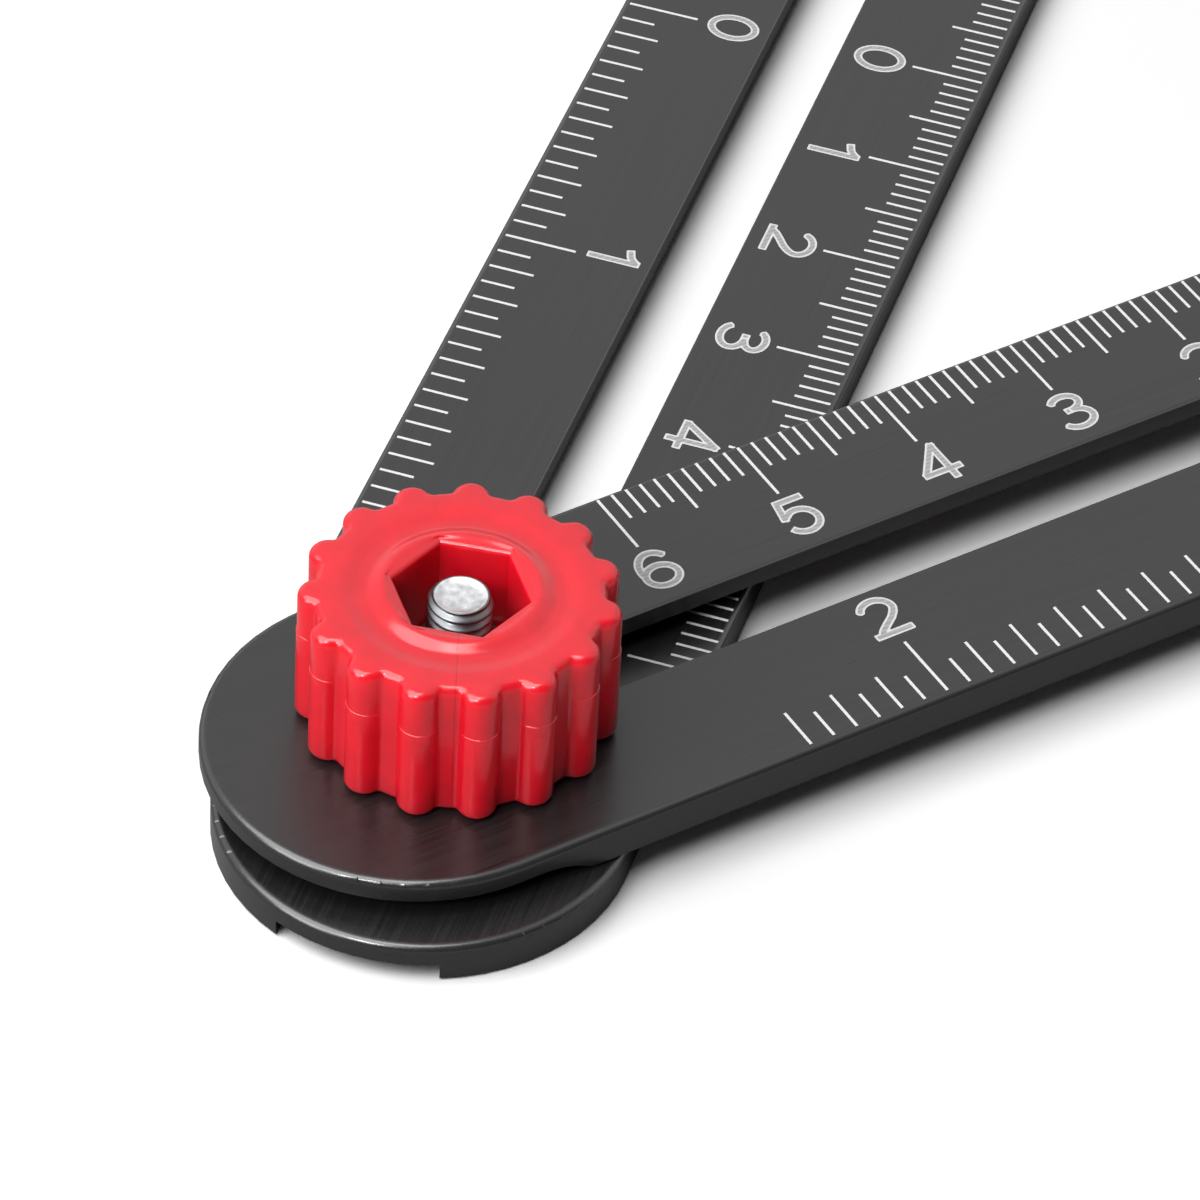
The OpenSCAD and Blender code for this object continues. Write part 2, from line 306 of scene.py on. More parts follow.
def treeToMesh(tree, name, values):
    # runs the tree on an empty mesh and returns the plain result
    holder = bpy.data.objects.new(name + "Holder", bpy.data.meshes.new(name + "Holder"))
    bpy.context.scene.collection.objects.link(holder)
    modifier = holder.modifiers.new("tree", "NODES")
    modifier.node_group = tree
    for item in tree.interface.items_tree:
        if item.in_out == "INPUT":
            modifier[item.identifier] = values[item.name]
    holder.update_tag()
    bpy.context.view_layer.update()
    evaluated = holder.evaluated_get(bpy.context.evaluated_depsgraph_get())
    mesh = bpy.data.meshes.new_from_object(evaluated)
    mesh.name = name
    bpy.data.objects.remove(holder)
    return mesh


def scaleMesh(name, meshes, matrix):
    # both rows of ticks as one mesh, laid on the arm
    joined = bpy.data.meshes.new(name)
    build = bmesh.new()
    for mesh in meshes:
        build.from_mesh(mesh)
    for face in build.faces:
        face.material_index = 0
    bmesh.ops.recalc_face_normals(build, faces=build.faces)
    build.to_mesh(joined)
    build.free()
    joined.materials.append(tickPaint)
    joined.transform(matrix)
    return joined


def addPiece(name, mesh, body, replaced=()):
    piece = bpy.data.objects.new(name, mesh)
    bpy.context.scene.collection.objects.link(piece)
    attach(piece, body)
    if replaced:
        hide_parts(*replaced)


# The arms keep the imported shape. A merged copy gets the true normals of the rounded upper edge, since the
# packed triangles there are long and uneven
armEdge = {"round": 0.5 * mm, "slack": 1.05,
           # of a unit normal: the upward part of a level face, the least part that counts, and how far the
           # normals of neighbours agree where one wall runs on into the next
           "level": 0.99, "least": 0.05, "sameWall": 0.82}


def armMesh(name, node):
    m = armEdge
    build = bmesh.new()
    build.from_mesh(frame["nodes"][node].data)
    bmesh.ops.remove_doubles(build, verts=build.verts, dist=mergeReach)
    build.normal_update()
    top = max(v.co.z for v in build.verts)
    normals = []
    for face in build.faces:
        face.smooth = True
        slope, outward = face.normal.z, Vector(face.normal.xy)
        isRound = slope > m["least"] and min(v.co.z for v in face.verts) > top - m["round"] * m["slack"]
        for loop in face.loops:
            if abs(slope) > m["level"] or (abs(slope) > m["least"] and not isRound):
                normals.append(tuple(face.normal))
                continue
            away = Vector((0.0, 0.0))
            for other in loop.vert.link_loops:
                side = Vector(other.face.normal.xy)
                if side.length > m["least"] and side.normalized().dot(outward.normalized()) > m["sameWall"]:
                    away += side.normalized() * other.calc_angle()
            away.normalize()
            rise = min(1.0, max(0.0, 1 - (top - loop.vert.co.z) / m["round"])) if isRound else 0.0
            run = math.sqrt(1 - rise * rise)
            normals.append((away.x * run, away.y * run, rise))
    mesh = bpy.data.meshes.new(name)
    build.to_mesh(mesh)
    build.free()
    mesh.normals_split_custom_set(normals)
    return mesh


for name, place in armPlaces.items():
    mesh = armMesh("arm" + name, place["node"])
    mesh.materials.append(lowerMetal if place["level"] == "lower" else upperMetal)
    addPiece("arm" + name, mesh, place["body"], [place["node"]])
print("arms finished")

ticksTree = tickTree()
tickMeshes = []
for rowName, r in scaleRows.items():
    tickMeshes.append(treeToMesh(ticksTree, rowName + "Ticks", {
        "count": 2 * r["span"] + 1, "zeroIndex": r["span"], "step": r["step"] * mm,
        "firstAt": ((r["shift"] - r["span"] * r["step"]) * mm, r["side"] * r["edge"] * mm, 0.0),
        "width": tickWidth, "height": markHeight, "side": r["side"],
        "short": r["short"] * mm, "mid": r["mid"] * mm, "long": r["long"] * mm,
        "midEvery": r["midEvery"], "longEvery": r["longEvery"], "material": tickPaint}))
for name, place in armPlaces.items():
    addPiece("ticks" + name, scaleMesh("ticks" + name, tickMeshes, printMatrix(place)), place["body"])
print("ticks made:", sum(2 * r["span"] + 1 for r in scaleRows.values()), "on each arm")


# Plain digits: strokes with square ends about their middle lines, in mm from the digit's middle. The beam drew
# a bright outline and hatched the inside, so each digit is a ring and a fill cut from one distance field
def arcPoints(cx, cy, rx, ry, start, end, count=18):
    return [(cx + rx * math.cos(math.radians(start + (end - start) * i / count)),
             cy + ry * math.sin(math.radians(start + (end - start) * i / count))) for i in range(count + 1)]


digitShape = {"stroke": 0.56, "edge": 0.13, "cell": 0.07, "halfWidth": 1.75, "halfHeight": 2.05, "fillDrop": 0.004,
              "cmRow": 5.15, "inchRow": -4.83, "oneShift": 0.55, "flatAngle": 2.0}
digitStrokes = {
    0: [arcPoints(0, 0, 1.08, 1.47, 0, 360, 40)],
    1: [[(0.40, -1.75), (0.40, 1.75)], [(0.36, 1.55), (0.1, 1.2), (-0.22, 0.98), (-0.85, 0.78)]],
    2: [arcPoints(0.0, 0.60, 1.04, 0.87, 168, -12)
        + [(0.86, 0.12), (0.5, -0.28), (-0.1, -0.72), (-0.6, -1.12), (-0.9, -1.52)],
        [(-1.35, -1.47), (1.32, -1.47)]],
    3: [arcPoints(-0.04, 0.80, 0.93, 0.67, 160, -90), arcPoints(-0.02, -0.66, 1.08, 0.81, 90, -160),
        [(-0.45, 0.13), (0.0, 0.13)]],
    4: [[(0.50, -1.75), (0.50, 1.75)], [(0.62, 1.70), (-1.22, -0.80)], [(-1.42, -0.78), (1.36, -0.78)]],
    5: [[(-0.86, 1.47), (1.14, 1.47)], [(-0.62, 1.72), (-0.96, -0.16)],
        [(-1.05, -0.02), (-0.55, 0.33)] + arcPoints(0.02, -0.47, 1.07, 1.0, 118, -158)],
    6: [arcPoints(0.02, -0.58, 1.06, 0.89, 0, 360, 36), arcPoints(0.10, 0.02, 1.14, 1.45, 38, 190)],
}


def strokeDistance(point, strokes, half):
    # below zero inside a stroke: square at a stroke's ends, round at its bends
    far = 9.0
    best = far
    px, py = point
    for stroke in strokes:
        last = len(stroke) - 2
        closed = math.dist(stroke[0], stroke[-1]) < 1e-6
        for i in range(last + 1):
            (ax, ay), (bx, by) = stroke[i], stroke[i + 1]
            length = math.hypot(bx - ax, by - ay)
            ux, uy = (bx - ax) / length, (by - ay) / length
            along = (px - ax) * ux + (py - ay) * uy
            across = abs((py - ay) * ux - (px - ax) * uy)
            beyond = max(-along, along - length)
            squareEnd = not closed and ((i == 0 and along < length / 2) or (i == last and along > length / 2))
            if beyond <= 0 or squareEnd:
                distance = max(across - half, beyond if squareEnd else -far)
            else:
                distance = math.hypot(across, beyond) - half
            best = min(best, distance)
    return best


def clipBelow(polygon, level):
    # the part of a polygon of (x, y, value) whose value is below the level
    kept = []
    for a, b in zip(polygon, polygon[1:] + polygon[:1]):
        if a[2] < level:
            kept.append(a)
        if (a[2] < level) != (b[2] < level):
            t = (level - a[2]) / (b[2] - a[2])
            kept.append(tuple(a[i] + (b[i] - a[i]) * t for i in range(3)))
    return kept


def digitOutline(digit):
    # flat faces in mm about the digit's middle: the ring's and the fill's
    d = digitShape
    cell, half = d["cell"], d["stroke"] / 2
    nx, ny = math.ceil(d["halfWidth"] / cell), math.ceil(d["halfHeight"] / cell)
    field = {(i, j): strokeDistance((i * cell, j * cell), digitStrokes[digit], half)
             for i in range(-nx, nx + 1) for j in range(-ny, ny + 1)}
    ring, fill = [], []
    for i in range(-nx, nx):
        for j in range(-ny, ny):
            square = [(x * cell, y * cell, field[x, y])
                      for x, y in ((i, j), (i + 1, j), (i + 1, j + 1), (i, j + 1))]
            inner = clipBelow(square, -d["edge"])
            outer = clipBelow([(x, y, -v) for x, y, v in clipBelow(square, 0.0)], d["edge"])
            if len(inner) > 2:
                fill.append(inner)
            if len(outer) > 2:
                ring.append(outer)
    return ring, fill


def digitMesh(digit):
    build = bmesh.new()
    for slotIndex, (faces, drop) in enumerate(zip(digitOutline(digit), (0.0, digitShape["fillDrop"]))):
        before = len(build.verts)
        for points in faces:
            face = build.faces.new([build.verts.new((x * mm, y * mm, markHeight - drop * mm)) for x, y, _ in points])
            face.material_index = slotIndex
        build.verts.ensure_lookup_table()
        bmesh.ops.remove_doubles(build, verts=build.verts[before:], dist=mergeReach)
    bmesh.ops.dissolve_limit(build, angle_limit=math.radians(digitShape["flatAngle"]), verts=build.verts,
                             edges=build.edges, delimit={"MATERIAL"})
    bmesh.ops.triangulate(build, faces=build.faces)
    build.normal_update()
    for face in build.faces:
        if face.normal.z < 0:
            face.normal_flip()
    mesh = bpy.data.meshes.new("digit" + str(digit))
    build.to_mesh(mesh)
    build.free()
    return mesh


digitMeshes = {digit: digitMesh(digit) for digit in digitStrokes}
digitPlaces = [(abs(cm), cm * 10.0, digitShape["cmRow"]) for cm in range(-6, 7)]
for inch in range(-2, 3):
    x = scaleRows["inch"]["shift"] + inch * 25.4 - (digitShape["oneShift"] if abs(inch) == 1 else 0.0)
    digitPlaces.append((abs(inch), x, digitShape["inchRow"]))
for name, place in armPlaces.items():
    build = bmesh.new()
    for digit, x, y in digitPlaces:
        before = len(build.verts)
        build.from_mesh(digitMeshes[digit])
        build.verts.ensure_lookup_table()
        bmesh.ops.translate(build, verts=build.verts[before:], vec=(x * mm, y * mm, 0))
    mesh = bpy.data.meshes.new("digits" + name)
    build.to_mesh(mesh)
    build.free()
    mesh.materials.append(digitEdgePaint)
    mesh.materials.append(digitFillPaint)
    mesh.transform(printMatrix(place))
    addPiece("digits" + name, mesh, place["body"])
print("digits made")

# Zinc-plated steel, rolled thread: bright, slightly mottled, rough on the cut tip
zinc = {"mottleMm": 0.5, "roughnessShare": (0.8, 1.3), "bump": 0.15, "bumpMm": 0.03,
        # colour, roughness and depth of the mottling
        "bolt": ("#7c7f82", 0.36, 0.2), "tip": ("#e2e4e6", 0.42, 0.35), "nut": ("#7c7f82", 0.32, 0.25)}


def zincSteel(name, colourText, roughness, mottle):
    material, tree = newMaterial(name)
    place = addNode(tree, "ShaderNodeTexCoord")
    spots = noise(tree, place, zinc["mottleMm"], 4.0, 0.6)
    colour = toned(tree, colourText, (spread(tree, spots, 1 - mottle, 1.0), "Result"))
    rough = spread(tree, spots, *(roughness * share for share in zinc["roughnessShare"]))
    bump = bumped(tree, (spots, "Fac"), zinc["bump"], zinc["bumpMm"])
    surface = addNode(tree, "ShaderNodeBsdfPrincipled", None, {"Metallic": 1.0},
                      {"Base Color": (colour, "Vector"), "Roughness": (rough, "Result"), "Normal": (bump, "Normal")})
    finishSurface(tree, surface)
    return material


boltZinc = zincSteel("zincPlatedBolt", *zinc["bolt"])
tipZinc = zincSteel("cutBoltTip", *zinc["tip"])
nutZinc = zincSteel("zincPlatedNut", *zinc["nut"])
for k in "abcd":
    nut = frame["nodes"]["hex_nut_" + k]
    nut.data.materials.clear()
    nut.data.materials.append(nutZinc)

boltLow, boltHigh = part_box("bolt_a")
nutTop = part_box("hex_nut_a")[1].z
boltShape = {"shankR": 1.95, "pitch": 0.7, "threadDepth": 0.36, "crest": 0.12, "flank": 0.76, "belowNut": 1.4,
             "headHalf": (boltHigh.x - boltLow.x) / 2 / mm, "headH": 1.1, "headBevel": 0.15, "headCorner": 1.2,
             "tipBevel": 0.32, "tipFaceR": 1.43, "tipSink": 0.13, "around": 72, "perPitch": 10}


def bridge(build, rows):
    # faces between rows of points that run round, in order
    faces = []
    for low, high in zip(rows, rows[1:]):
        n = len(low)
        faces += [build.faces.new((low[i], low[(i + 1) % n], high[(i + 1) % n], high[i])) for i in range(n)]
    return faces


def boltMesh(name, centre):
    b = boltShape
    n = b["around"]
    turns = [2 * math.pi * i / n for i in range(n)]
    zTip, zHead = boltHigh.z / mm, boltLow.z / mm + b["headH"]
    zThread = nutTop / mm - b["belowNut"]

    def threadRadius(z, angle):
        # a vee with a narrow crest, which fades in over the first turn
        phase = ((z - zThread) / b["pitch"] + angle / (2 * math.pi)) % 1.0
        vee = min(1.0, max(0.0, (abs(2 * phase - 1) - b["crest"]) / b["flank"]))
        fade = min(1.0, max(0.0, (z - zThread) / b["pitch"]))
        return b["shankR"] - b["threadDepth"] * (1 - vee) * fade

    # rings of (radius, height) up the thread, whose crests the bevel at the tip cuts off
    rings = [[(b["shankR"], zHead)] * n]
    z = zThread
    while z < zTip - 1e-6:
        limit = b["shankR"] - max(0.0, z - (zTip - b["tipBevel"]))
        rings.append([(min(limit, threadRadius(z, turn)), z) for turn in turns])
        z += b["pitch"] / b["perPitch"]
    bevelR, faceR, sink = b["shankR"] - b["tipBevel"], b["tipFaceR"], b["tipSink"]
    # the cut tip as (radius, rise): a narrow land, and a shallow sink inside it
    tip = ((bevelR, 0.0), (bevelR - 0.07, 0.0), (faceR, -0.03), (faceR - 0.1, -sink), (faceR * 0.6, -sink * 0.9),
           (faceR * 0.25, -sink * 1.05))
    rings += [[(radius, zTip + rise)] * n for radius, rise in tip]
    build = bmesh.new()
    rows = [[build.verts.new((centre.x + r * mm * math.cos(turn), centre.y + r * mm * math.sin(turn), h * mm))
             for turn, (r, h) in zip(turns, ring)] for ring in rings]
    faces = bridge(build, rows) + [build.faces.new(rows[-1])]
    for face in faces:
        face.smooth = True
    # inside the bevel the tip shows cut metal
    for face in faces[-(len(tip) - 2) * n - 1:]:
        face.material_index = 1
    # thin square head with cut corners, in the channel
    h, bevel, cut = b["headHalf"], b["headBevel"], b["headHalf"] - b["headCorner"]
    outline = [(-cut, -h), (cut, -h), (h, -cut), (h, cut), (cut, h), (-cut, h), (-h, cut), (-h, -cut)]
    z0 = boltLow.z / mm
    headRows = [[build.verts.new((centre.x + x * share * mm, centre.y + y * share * mm, z * mm)) for x, y in outline]
                for share, z in ((1 - bevel / h, z0), (1.0, z0 + bevel), (1.0, zHead))]
    bridge(build, headRows)
    build.faces.new(list(reversed(headRows[0])))
    build.faces.new(headRows[-1])
    mesh = bpy.data.meshes.new(name)
    build.to_mesh(mesh)
    build.free()
    mesh.materials.append(boltZinc)
    mesh.materials.append(tipZinc)
    return mesh


boltBodies = {"a": "corner_bolt_a", "b": "frame_base", "c": "lower_b", "d": "corner_bolt_d"}
for k, body in boltBodies.items():
    addPiece("bolt" + k.upper(), boltMesh("bolt" + k.upper(), corners[k]), body, ["bolt_" + k])
print("bolts threaded")

# Knob: injection-moulded ABS, glossy red, with a moulding line and a faint weld line
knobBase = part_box("knob_a")[0].z
knobShape = {"lobes": 15, "outerR": 9.5, "lobeR": 1.2, "coreR": 8.55, "filletR": 0.3, "turn": 15.0,
             "lobePoints": 9, "filletPoints": 5, "valleyPoints": 3,
             "height": 9.7, "topRound": 0.6, "baseRound": 0.6, "baseFlat": 4.5, "baseSteps": 7, "fineSteps": 10,
             "boreR": 2.2, "boreBevel": 0.25, "floor": 1.0, "hexTurn": 36.5, "pocketFlat": 3.55,
             "mouthRound": 0.3, "mouthSteps": 6, "mouthGuard": 0.3, "floorGuard": 0.02,
             "collarIn": 4.5, "collarOut": 5.6, "collarRise": 0.2, "collarDip": 0.15,
             "dishIn": 5.95, "dishOut": 7.2, "dishDepth": 0.2, "rimShares": (0.25, 0.7),
             "partingDrop": 3.1, "partingStep": 0.05, "partingFade": 0.5, "wallRows": (2.2, 3.8),
             # share of the step at heights about the moulding line, with a fine score below it
             "partingForm": ((0.0, -0.80), (0.0, -0.77), (0.2, -0.75), (0.2, -0.73), (0.0, -0.71), (0.0, -0.68),
                             (0.0, -0.06), (0.0, -0.02), (1.0, 0.01), (1.0, 0.05)),
             "merge": 0.001, "crispAngle": 38}


def smoothStep(t):
    t = min(1.0, max(0.0, t))
    return t * t * (3 - 2 * t)


def lobeCurve(k):
    # the fillet's centre, and the arc of the lobe that it leaves free
    lobeC, reach = k["outerR"] - k["lobeR"], k["coreR"] + k["filletR"]
    bend = math.acos((lobeC ** 2 + reach ** 2 - (k["lobeR"] + k["filletR"]) ** 2) / (2 * lobeC * reach))
    return lobeC, reach, bend, math.atan2(reach * math.sin(bend), reach * math.cos(bend) - lobeC)


def outlineAngles(k):
    # more points round the lobes and fillets than on the valley floors, and one at each corner of the hexagon
    lobeC, _, bend, arc = lobeCurve(k)
    half, lobeR = math.pi / k["lobes"], k["lobeR"]
    onLobe, onFillet, onFloor = k["lobePoints"], k["filletPoints"], k["valleyPoints"]
    swings = [arc * i / onLobe for i in range(onLobe + 1)]
    offs = [math.atan2(lobeR * math.sin(swing), lobeC + lobeR * math.cos(swing)) for swing in swings]
    lobeEnd = offs[-1]
    offs += [lobeEnd + (bend - lobeEnd) * i / onFillet for i in range(1, onFillet + 1)]
    offs += [bend + (half - bend) * i / onFloor for i in range(1, onFloor + 1)]
    angles = {round(math.radians(k["turn"]) + 2 * half * lobe + side * off, 6)
              for lobe in range(k["lobes"]) for side in (-1, 1) for off in offs}
    angles |= {round(math.radians(k["hexTurn"]) + math.pi / 3 * corner, 6) for corner in range(6)}
    turn = 2 * math.pi
    ordered = sorted({round(a % turn, 5) for a in angles})
    return [a for a, after in zip(ordered, ordered[1:] + [ordered[0] + turn]) if after - a > 2e-4]


def outlineRadius(k, angle, inset):
    # polar radius of the lobed outline moved inwards by inset: round lobes, small fillets, round valley floors
    lobeC, reach, bend, arc = lobeCurve(k)
    step = 2 * math.pi / k["lobes"]
    off = (angle - math.radians(k["turn"])) % step
    off = min(off, step - off)
    lobeR, filletR = k["lobeR"] - inset, k["filletR"] + inset
    if off <= math.atan2(lobeR * math.sin(arc), lobeC + lobeR * math.cos(arc)):
        return lobeC * math.cos(off) + math.sqrt(max(0.0, lobeR ** 2 - (lobeC * math.sin(off)) ** 2))
    if off < bend:
        return reach * math.cos(bend - off) - math.sqrt(max(0.0, filletR ** 2 - (reach * math.sin(bend - off)) ** 2))
    return k["coreR"] - inset


def hexRadius(k, angle, flat):
    off = (angle - math.radians(k["hexTurn"])) % (math.pi / 3) - math.pi / 6
    return flat / math.cos(off)


def knobMesh(name, centre):
    k = knobShape
    angles = outlineAngles(k)
    full, top, base = k["height"], k["topRound"], k["baseRound"]
    flat, edge = k["pocketFlat"], k["mouthRound"]
    rings = []

    def ring(radiusAt, height):
        rings.append([(radiusAt(a), height) for a in angles])

    def circle(radius):
        return lambda a: radius

    def lobed(inset):
        return lambda a: outlineRadius(k, a, inset)

    def between(inner, inset, share):
        # from the lobed outline towards a circle further in
        return lambda a: inner * share + outlineRadius(k, a, inset) * (1 - share)

    def stepped(inset):
        # full on the lobes, fading out in the valleys
        def radiusAt(a):
            outline = outlineRadius(k, a, 0.0)
            return outline - inset * smoothStep((outline - k["coreR"]) / k["partingFade"])
        return radiusAt

    def hexagon(halfWidth):
        return lambda a: hexRadius(k, a, halfWidth)

    # the bore's lower end, the base, its rounded edge
    ring(circle(k["boreR"]), k["floor"])
    ring(circle(k["boreR"]), k["boreBevel"])
    ring(circle(k["boreR"] + k["boreBevel"]), 0.0)
    ring(circle(k["baseFlat"]), 0.0)
    ring(between(k["baseFlat"], base, 0.4), 0.0)
    for i in range(k["baseSteps"] + 1):
        t = math.pi / 2 * i / k["baseSteps"]
        ring(lobed(base * (1 - math.sin(t))), base * (1 - math.cos(t)))
    # the lobed wall, where the two halves of the mould meet in a small step, and the rounded upper edge
    parting, step = full - k["partingDrop"], k["partingStep"]
    for height in k["wallRows"]:
        ring(stepped(0.0), height)
    for share, rise in k["partingForm"]:
        ring(stepped(step * share), parting + rise)
    ring(stepped(step), (parting + full - top) / 2)
    fine = k["fineSteps"]
    for i in range(fine + 1):
        t = math.pi / 2 * i / fine
        ring(lobed(step + (top - step) * (1 - math.cos(t))), full - top + top * math.sin(t))
    # flat rim, a soft slope down into the ring-shaped dish, and a soft rise to the collar
    for share in k["rimShares"]:
        ring(between(k["dishOut"], top, share), full)
    slopes = ((k["dishOut"], k["dishIn"], full, -k["dishDepth"]),
              (k["collarOut"], k["collarIn"], full - k["dishDepth"], k["dishDepth"] + k["collarRise"]))
    for start, end, height, climb in slopes:
        for i in range(fine + 1):
            t = i / fine
            ring(circle(start + t * (end - start)), height + climb * smoothStep(t))
    # the collar falls off gently towards the pocket, whose mouth is rounded
    collarTop = full + k["collarRise"]
    for share in (0.2, 0.4, 0.6, 0.8):
        ring(lambda a: k["collarIn"] * (1 - share) + hexRadius(k, a, flat + edge) * share,
             collarTop - k["collarDip"] * smoothStep(share))
    mouthTop = collarTop - k["collarDip"]
    for i in range(k["mouthSteps"] + 1):
        t = math.pi / 2 * i / k["mouthSteps"]
        ring(hexagon(flat + edge * (1 - math.sin(t))), mouthTop - edge * (1 - math.cos(t)))
    ring(hexagon(flat), mouthTop - edge - k["mouthGuard"])
    ring(hexagon(flat), k["floor"] + k["floorGuard"])
    ring(circle(k["boreR"]), k["floor"])
    build = bmesh.new()
    rows = [[build.verts.new((centre.x + r * mm * math.cos(a), centre.y + r * mm * math.sin(a), knobBase + h * mm))
             for a, (r, h) in zip(angles, points)] for points in rings]
    for face in bridge(build, rows):
        face.smooth = True
    bmesh.ops.remove_doubles(build, verts=build.verts, dist=k["merge"] * mm)
    # the pocket's six corners stay crisp
    for e in build.edges:
        if len(e.link_faces) == 2 and e.calc_face_angle(0.0) > math.radians(k["crispAngle"]):
            e.smooth = False
    mesh = bpy.data.meshes.new(name)
    build.to_mesh(mesh)
    build.free()
    return mesh


# glossy and faintly uneven, with light that soaks a little way into the red; the weld line is darker and sunk
redPlastic = {"colour": "#d61024", "ior": 1.6, "roughness": (0.17, 0.22), "fineMm": 0.2, "peelMm": 1.6,
              "peelTone": (0.95, 1.05), "bump": 0.14, "bumpMm": 0.05, "soak": 0.6, "soakMm": 2.6,
              "soakRadius": (1.0, 0.12, 0.14), "weldMm": 0.07, "weldFromMm": (3.0, 3.2), "weldBearing": -163.0,
              "weldTone": -0.3, "weldRise": -0.8}


def mouldedAbs(name, centre):
    # the weld line, where the melt met, runs straight out from the bolt on the side opposite the gate
    m = redPlastic
    material, tree = newMaterial(name)
    place = addNode(tree, "ShaderNodeTexCoord")
    peel = noise(tree, place, m["peelMm"], 2.0)
    fine = noise(tree, place, m["fineMm"], 2.0)
    centred = addNode(tree, "ShaderNodeMapping", {"vector_type": "TEXTURE"},
                      {"Location": (centre.x, centre.y, 0), "Rotation": (0, 0, math.radians(m["weldBearing"]))},
                      {"Vector": (place, "Object")})
    parts = addNode(tree, "ShaderNodeSeparateXYZ", None, None, {"Vector": (centred, "Vector")})
    across = addNode(tree, "ShaderNodeMath", {"operation": "ABSOLUTE"}, None, {0: (parts, "Y")})
    nearLine = smoothRange(tree, (across, "Value"), 0.0, m["weldMm"] * mm, 1.0, 0.0)
    start, end = m["weldFromMm"]
    outside = addNode(tree, "ShaderNodeMapRange", None, {"From Min": start * mm, "From Max": end * mm},
                      {"Value": (parts, "X")})
    weld = product(tree, (nearLine, "Result"), (outside, "Result"))
    tone = spread(tree, peel, *m["peelTone"])
    darker = plusShare(tree, (tone, "Result"), m["weldTone"], (weld, "Value"))
    colour = toned(tree, m["colour"], (darker, "Value"))
    rough = spread(tree, fine, *m["roughness"])
    height = plusShare(tree, (peel, "Fac"), m["weldRise"], (weld, "Value"))
    bump = bumped(tree, (height, "Value"), m["bump"], m["bumpMm"])
    surface = addNode(tree, "ShaderNodeBsdfPrincipled", None,
                      {"IOR": m["ior"], "Subsurface Weight": m["soak"], "Subsurface Radius": m["soakRadius"],
                       "Subsurface Scale": m["soakMm"] * mm},
                      {"Base Color": (colour, "Vector"), "Roughness": (rough, "Result"), "Normal": (bump, "Normal")})
    finishSurface(tree, surface)
    return material


for k in "abcd":
    mesh = knobMesh("knob" + k.upper(), corners[k])
    mesh.materials.append(mouldedAbs("mouldedRedAbs" + k.upper(), corners[k]))
    addPiece("knob" + k.upper(), mesh, "grip_" + k, ["knob_" + k])
print("knobs moulded")

# Studio: pale floor that keeps the shadow, darker in reflections and run out to white for the camera; a white
# backdrop that fades to a dim room behind the camera; one large softbox on the left for everything, and three
# small lamps, above, on the left and in front, that light the ruler and not the floor
view = {"target": (-0.114955, 0.043869, 0.0026), "heading": 16.173, "elevation": 43.019, "roll": 3.204,
        "distance": 0.427821, "lens": 213.184}
studio = {"floorHalf": 3.0, "floorWhite": 0.8, "floorGloss": 0.5, "floorCamera": 1.3, "whiteFrom": 0.17,
          "whiteTo": 0.32, "worldFill": 0.03, "roomGloss": 0.16, "backdropLift": 0.25, "backdropFade": (-0.35, 0.45)}


def studioFloor():
    material, tree = newMaterial("paleFloor")
    path = addNode(tree, "ShaderNodeLightPath")
    pale = blend(tree, (path, "Is Glossy Ray"), studio["floorWhite"], studio["floorGloss"])
    white = blend(tree, (path, "Is Camera Ray"), (pale, "Result"), studio["floorCamera"])
    surface = addNode(tree, "ShaderNodeBsdfDiffuse", None, None, {"Color": (white, "Result")})
    # clear of the shadows the floor runs out into the white of the backdrop, for the camera only
    place = addNode(tree, "ShaderNodeTexCoord")
    reach = addNode(tree, "ShaderNodeVectorMath", {"operation": "LENGTH"}, None, {"Vector": (place, "Object")})
    faded = smoothRange(tree, (reach, "Value"), studio["whiteFrom"], studio["whiteTo"])
    share = product(tree, (faded, "Result"), (path, "Is Camera Ray"))
    backdrop = addNode(tree, "ShaderNodeEmission", None, {"Color": (1, 1, 1, 1), "Strength": 1.0})
    both = addNode(tree, "ShaderNodeMixShader", None, None,
                   {0: (share, "Value"), 1: (surface, "BSDF"), 2: (backdrop, "Emission")})
    finishSurface(tree, both, "Shader")
    mesh = bpy.data.meshes.new("studioFloor")
    s = studio["floorHalf"]
    mesh.from_pydata([(-s, -s, 0), (s, -s, 0), (s, s, 0), (-s, s, 0)], [], [(0, 1, 2, 3)])
    mesh.materials.append(material)
    floor = bpy.data.objects.new("studioFloor", mesh)
    bpy.context.scene.collection.objects.link(floor)


def studioWorld():
    world = bpy.data.worlds.new("studioWorld")
    world.use_nodes = True
    tree = world.node_tree
    tree.nodes.clear()
    path = addNode(tree, "ShaderNodeLightPath")
    towards = addNode(tree, "ShaderNodeTexCoord")
    heading = math.radians(view["heading"])
    ahead = addNode(tree, "ShaderNodeVectorMath", {"operation": "DOT_PRODUCT"},
                    {1: (math.cos(heading), math.sin(heading), studio["backdropLift"])}, {0: (towards, "Generated")})
    backdrop = smoothRange(tree, (ahead, "Value"), *studio["backdropFade"], studio["roomGloss"], 1.0)
    reflected = blend(tree, (path, "Is Glossy Ray"), studio["worldFill"], (backdrop, "Result"))
    shown = addNode(tree, "ShaderNodeMath", {"operation": "MAXIMUM"}, None,
                    {0: (path, "Is Camera Ray"), 1: (path, "Is Transmission Ray")})
    seen = blend(tree, (shown, "Value"), (reflected, "Result"), 1.0)
    light = addNode(tree, "ShaderNodeBackground", None, {"Color": (1, 1, 1, 1)}, {"Strength": (seen, "Result")})
    addNode(tree, "ShaderNodeOutputWorld", links={"Surface": (light, "Background")})
    bpy.context.scene.world = world


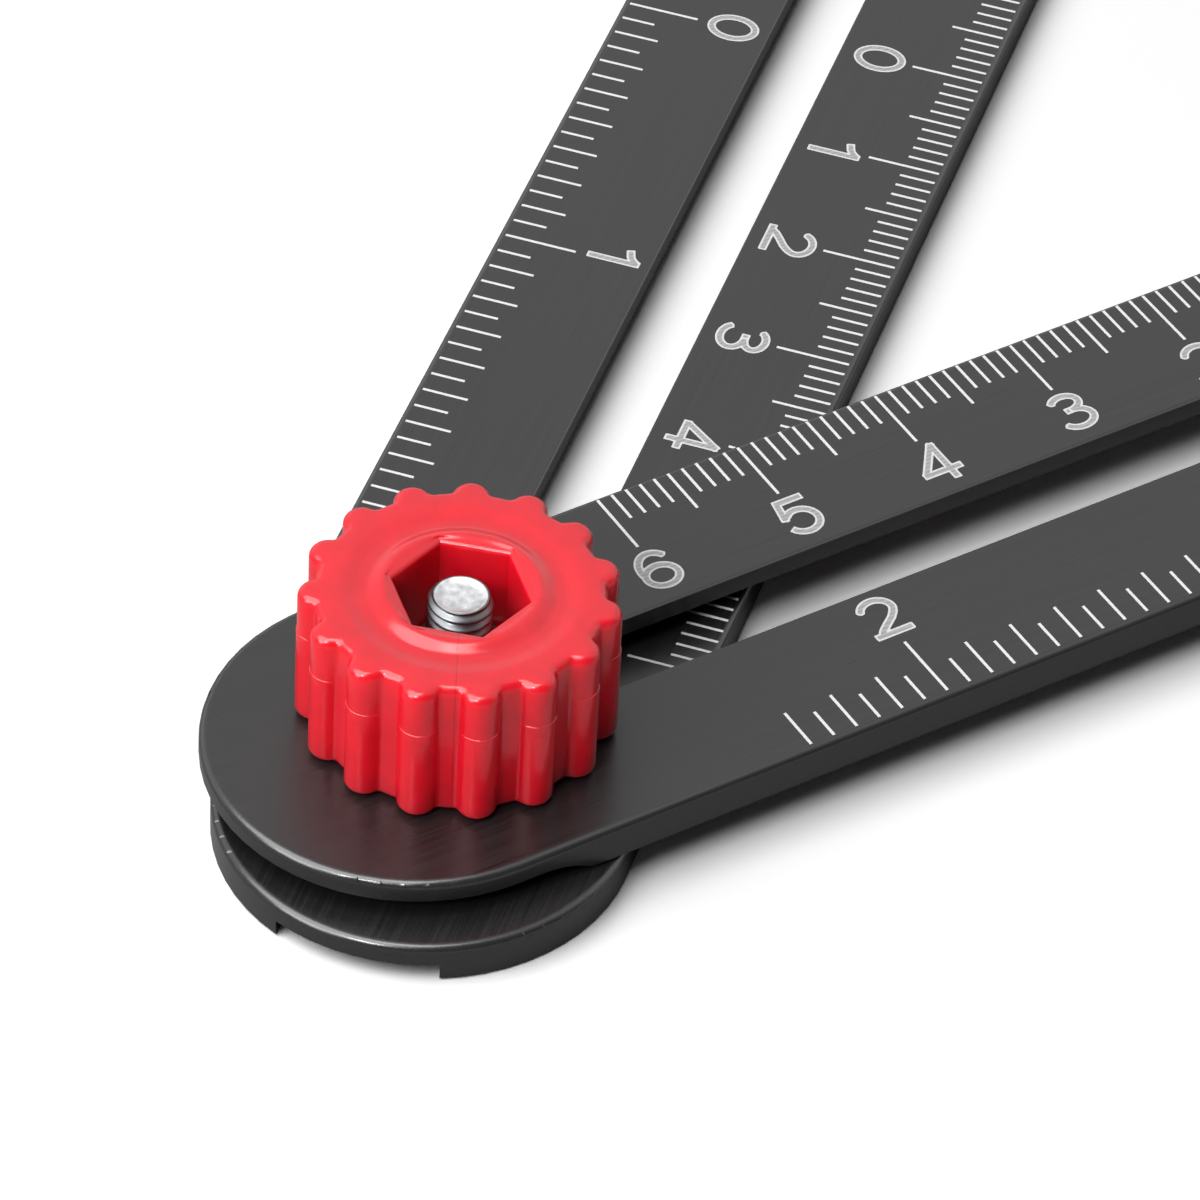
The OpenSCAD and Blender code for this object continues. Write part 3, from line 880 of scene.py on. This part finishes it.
def direction(bearing, height):
    # a unit vector, from degrees round and degrees up
    b, h = math.radians(bearing), math.radians(height)
    return Vector((math.cos(b) * math.cos(h), math.sin(b) * math.cos(h), math.sin(h)))


lamps = {
    # bearing is counter-clockwise from the camera's heading, height above the floor plane, both in degrees
    "sideSoftbox": {"bearing": 117, "height": 57, "distance": 1.0, "size": 1.0, "power": 12.4},
    "topLamp": {"bearing": 175, "height": 84, "distance": 1.0, "size": 0.3, "power": 1.5, "rulerOnly": True},
    "leftLamp": {"bearing": 124, "height": 24, "distance": 1.0, "size": 0.45, "power": 3.6, "rulerOnly": True},
    "frontLamp": {"bearing": 152, "height": 44, "distance": 0.9, "size": 0.12, "power": 2.4, "rulerOnly": True},
}


def addCamera():
    forward = direction(view["heading"], -view["elevation"])
    data = bpy.data.cameras.new("camera")
    data.lens = view["lens"]
    data.sensor_width = 36
    data.clip_start = 0.01
    camera = bpy.data.objects.new("camera", data)
    bpy.context.scene.collection.objects.link(camera)
    turn = forward.to_track_quat("-Z", "Y").to_matrix().to_4x4() @ Matrix.Rotation(math.radians(view["roll"]), 4, "Z")
    camera.matrix_world = Matrix.Translation(Vector(view["target"]) - forward * view["distance"]) @ turn
    bpy.context.scene.camera = camera


def addLamps():
    target = Vector(view["target"])
    for name, lamp in lamps.items():
        data = bpy.data.lights.new(name, "AREA")
        data.shape = "SQUARE"
        data.size = lamp["size"]
        data.energy = lamp["power"]
        light = bpy.data.objects.new(name, data)
        place = target + direction(view["heading"] + lamp["bearing"], lamp["height"]) * lamp["distance"]
        turn = (target - place).to_track_quat("-Z", "Y").to_matrix().to_4x4()
        light.matrix_world = Matrix.Translation(place) @ turn
        if lamp.get("rulerOnly"):
            lit = bpy.data.collections.new(name + "Lit")
            for piece in bpy.context.scene.objects:
                if piece.type == "MESH" and piece.name != "studioFloor":
                    lit.objects.link(piece)
            light.light_linking.receiver_collection = lit
        bpy.context.scene.collection.objects.link(light)


studioFloor()
studioWorld()
addCamera()
addLamps()
bpy.context.scene.view_settings.view_transform = "Standard"
print("studio set")
